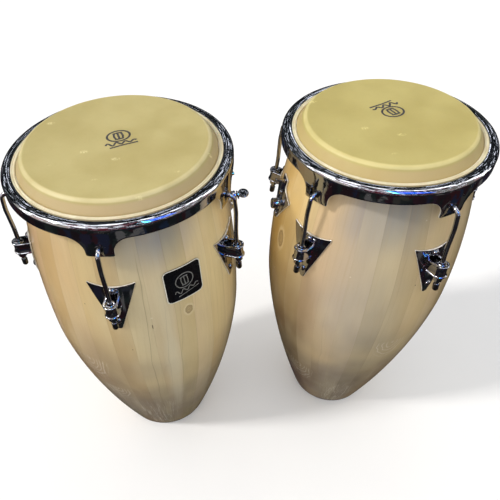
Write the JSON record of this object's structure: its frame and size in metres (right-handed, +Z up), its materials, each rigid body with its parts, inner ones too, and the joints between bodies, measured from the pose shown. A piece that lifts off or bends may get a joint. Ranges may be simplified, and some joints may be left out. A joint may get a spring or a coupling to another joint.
{
  "type": "conga drums",
  "caption": "Pair of barrel-shaped wooden hand drums with hide heads, chrome rims and hook-and-nut tuning lugs, standing side by side to be played by hand.",
  "frame": {"origin": "on the floor, below the middle of the pair's bounding box", "axes": "+Z up along both drums' axes, +X from the larger drum to the smaller one, -Y towards the side that shows the badge"},
  "size_m": [0.8059, 0.385, 0.7112],
  "materials": {
    "wood": "gloss clear lacquer over pale ash staves",
    "rawhide": "smooth tan hide",
    "chrome": "polished",
    "plated_steel": "bright plated",
    "badge": "glossy black with a pale rim"
  },
  "bodies": {
    "conga_drum": {"conga_shell": "wood", "conga_head": "rawhide", "conga_lug_plate_1": "chrome", "conga_lug_plate_2": "chrome", "conga_lug_plate_3": "chrome", "conga_lug_plate_4": "chrome", "conga_lug_plate_5": "chrome", "conga_lug_fixing_1": "plated_steel", "conga_lug_fixing_2": "plated_steel", "conga_lug_fixing_3": "plated_steel", "conga_lug_fixing_4": "plated_steel", "conga_lug_fixing_5": "plated_steel", "conga_bracket_fixing": "plated_steel", "conga_stand_bracket": "chrome", "conga_badge": "badge"},
    "conga_tuning": {"conga_flesh_hoop": "rawhide", "conga_rim": "chrome", "conga_hook_1": "plated_steel", "conga_hook_2": "plated_steel", "conga_hook_3": "plated_steel", "conga_hook_4": "plated_steel", "conga_hook_5": "plated_steel"},
    "conga_nut_1": {"conga_nut_1": "plated_steel"},
    "conga_nut_2": {"conga_nut_2": "plated_steel"},
    "conga_nut_3": {"conga_nut_3": "plated_steel"},
    "conga_nut_4": {"conga_nut_4": "plated_steel"},
    "conga_nut_5": {"conga_nut_5": "plated_steel"},
    "quinto_drum": {"quinto_shell": "wood", "quinto_head": "rawhide", "quinto_lug_plate_1": "chrome", "quinto_lug_plate_2": "chrome", "quinto_lug_plate_3": "chrome", "quinto_lug_plate_4": "chrome", "quinto_lug_plate_5": "chrome", "quinto_lug_fixing_1": "plated_steel", "quinto_lug_fixing_2": "plated_steel", "quinto_lug_fixing_3": "plated_steel", "quinto_lug_fixing_4": "plated_steel", "quinto_lug_fixing_5": "plated_steel", "quinto_bracket_fixing": "plated_steel", "quinto_stand_bracket": "chrome"},
    "quinto_tuning": {"quinto_flesh_hoop": "rawhide", "quinto_rim": "chrome", "quinto_hook_1": "plated_steel", "quinto_hook_2": "plated_steel", "quinto_hook_3": "plated_steel", "quinto_hook_4": "plated_steel", "quinto_hook_5": "plated_steel"},
    "quinto_nut_1": {"quinto_nut_1": "plated_steel"},
    "quinto_nut_2": {"quinto_nut_2": "plated_steel"},
    "quinto_nut_3": {"quinto_nut_3": "plated_steel"},
    "quinto_nut_4": {"quinto_nut_4": "plated_steel"},
    "quinto_nut_5": {"quinto_nut_5": "plated_steel"},
    "conga_stand_screw": {"conga_stand_screw": "plated_steel"}
  },
  "joints": [
    {"name": "drum_spacing", "type": "slide", "parent": "conga_drum", "child": "quinto_drum", "axis": [1, 0, 0], "range_m": [0, 0.3]},
    {"name": "conga_rim_travel", "type": "slide", "parent": "conga_drum", "child": "conga_tuning", "axis": [0, 0, -1], "range_m": [-0.003, 0.006]},
    {"name": "conga_nut_1_turn", "type": "hinge", "parent": "conga_drum", "child": "conga_nut_1", "pos_m": [-0.23317, -0.18228, 0.52777], "axis": [0.0125, 0.079, 0.9968], "range_deg": [-860, 1710]},
    {"name": "conga_nut_2_turn", "type": "hinge", "parent": "conga_drum", "child": "conga_nut_2", "pos_m": [-0.03214, -0.07985, 0.52777], "axis": [-0.0713, 0.0363, 0.9968], "range_deg": [-860, 1710]},
    {"name": "conga_nut_3_turn", "type": "hinge", "parent": "conga_drum", "child": "conga_nut_3", "pos_m": [-0.06744, 0.14299, 0.52777], "axis": [-0.0566, -0.0566, 0.9968], "range_deg": [-860, 1710]},
    {"name": "conga_nut_4_turn", "type": "hinge", "parent": "conga_drum", "child": "conga_nut_4", "pos_m": [-0.29028, 0.17829, 0.52777], "axis": [0.0363, -0.0713, 0.9968], "range_deg": [-860, 1710]},
    {"name": "conga_nut_5_turn", "type": "hinge", "parent": "conga_drum", "child": "conga_nut_5", "pos_m": [-0.39271, -0.02274, 0.52777], "axis": [0.079, 0.0125, 0.9968], "range_deg": [-860, 1710]},
    {"name": "quinto_rim_travel", "type": "slide", "parent": "quinto_drum", "child": "quinto_tuning", "axis": [0, 0, -1], "range_m": [-0.003, 0.006]},
    {"name": "quinto_nut_1_turn", "type": "hinge", "parent": "quinto_drum", "child": "quinto_nut_1", "pos_m": [0.26815, -0.16696, 0.52785], "axis": [-0.0373, 0.1114, 0.9931], "range_deg": [-860, 1710]},
    {"name": "quinto_nut_2_turn", "type": "hinge", "parent": "quinto_drum", "child": "quinto_nut_2", "pos_m": [0.39358, 0.00888, 0.52785], "axis": [-0.1175, -0.001, 0.9931], "range_deg": [-860, 1710]},
    {"name": "quinto_nut_3_turn", "type": "hinge", "parent": "quinto_drum", "child": "quinto_nut_3", "pos_m": [0.2651, 0.18252, 0.52785], "axis": [-0.0353, -0.1121, 0.9931], "range_deg": [-860, 1710]},
    {"name": "quinto_nut_4_turn", "type": "hinge", "parent": "quinto_drum", "child": "quinto_nut_4", "pos_m": [0.06026, 0.11398, 0.52785], "axis": [0.0957, -0.0682, 0.9931], "range_deg": [-860, 1710]},
    {"name": "quinto_nut_5_turn", "type": "hinge", "parent": "quinto_drum", "child": "quinto_nut_5", "pos_m": [0.06215, -0.10201, 0.52785], "axis": [0.0945, 0.0699, 0.9931], "range_deg": [-860, 1710]},
    {"name": "conga_stand_screw_turn", "type": "hinge", "parent": "conga_drum", "child": "conga_stand_screw", "pos_m": [-0.03379, 0.0341, 0.56635], "axis": [0.9812, 0.1554, 0.114], "range_deg": [-720, 0]}
  ],
  "couplings": [
    {"joint": "conga_nut_1_turn", "follows": "conga_rim_travel", "rad_per_m": 4947.4},
    {"joint": "conga_nut_2_turn", "follows": "conga_rim_travel", "rad_per_m": 4947.4},
    {"joint": "conga_nut_3_turn", "follows": "conga_rim_travel", "rad_per_m": 4947.4},
    {"joint": "conga_nut_4_turn", "follows": "conga_rim_travel", "rad_per_m": 4947.4},
    {"joint": "conga_nut_5_turn", "follows": "conga_rim_travel", "rad_per_m": 4947.4},
    {"joint": "quinto_nut_1_turn", "follows": "quinto_rim_travel", "rad_per_m": 4947.4},
    {"joint": "quinto_nut_2_turn", "follows": "quinto_rim_travel", "rad_per_m": 4947.4},
    {"joint": "quinto_nut_3_turn", "follows": "quinto_rim_travel", "rad_per_m": 4947.4},
    {"joint": "quinto_nut_4_turn", "follows": "quinto_rim_travel", "rad_per_m": 4947.4},
    {"joint": "quinto_nut_5_turn", "follows": "quinto_rim_travel", "rad_per_m": 4947.4}
  ]
}
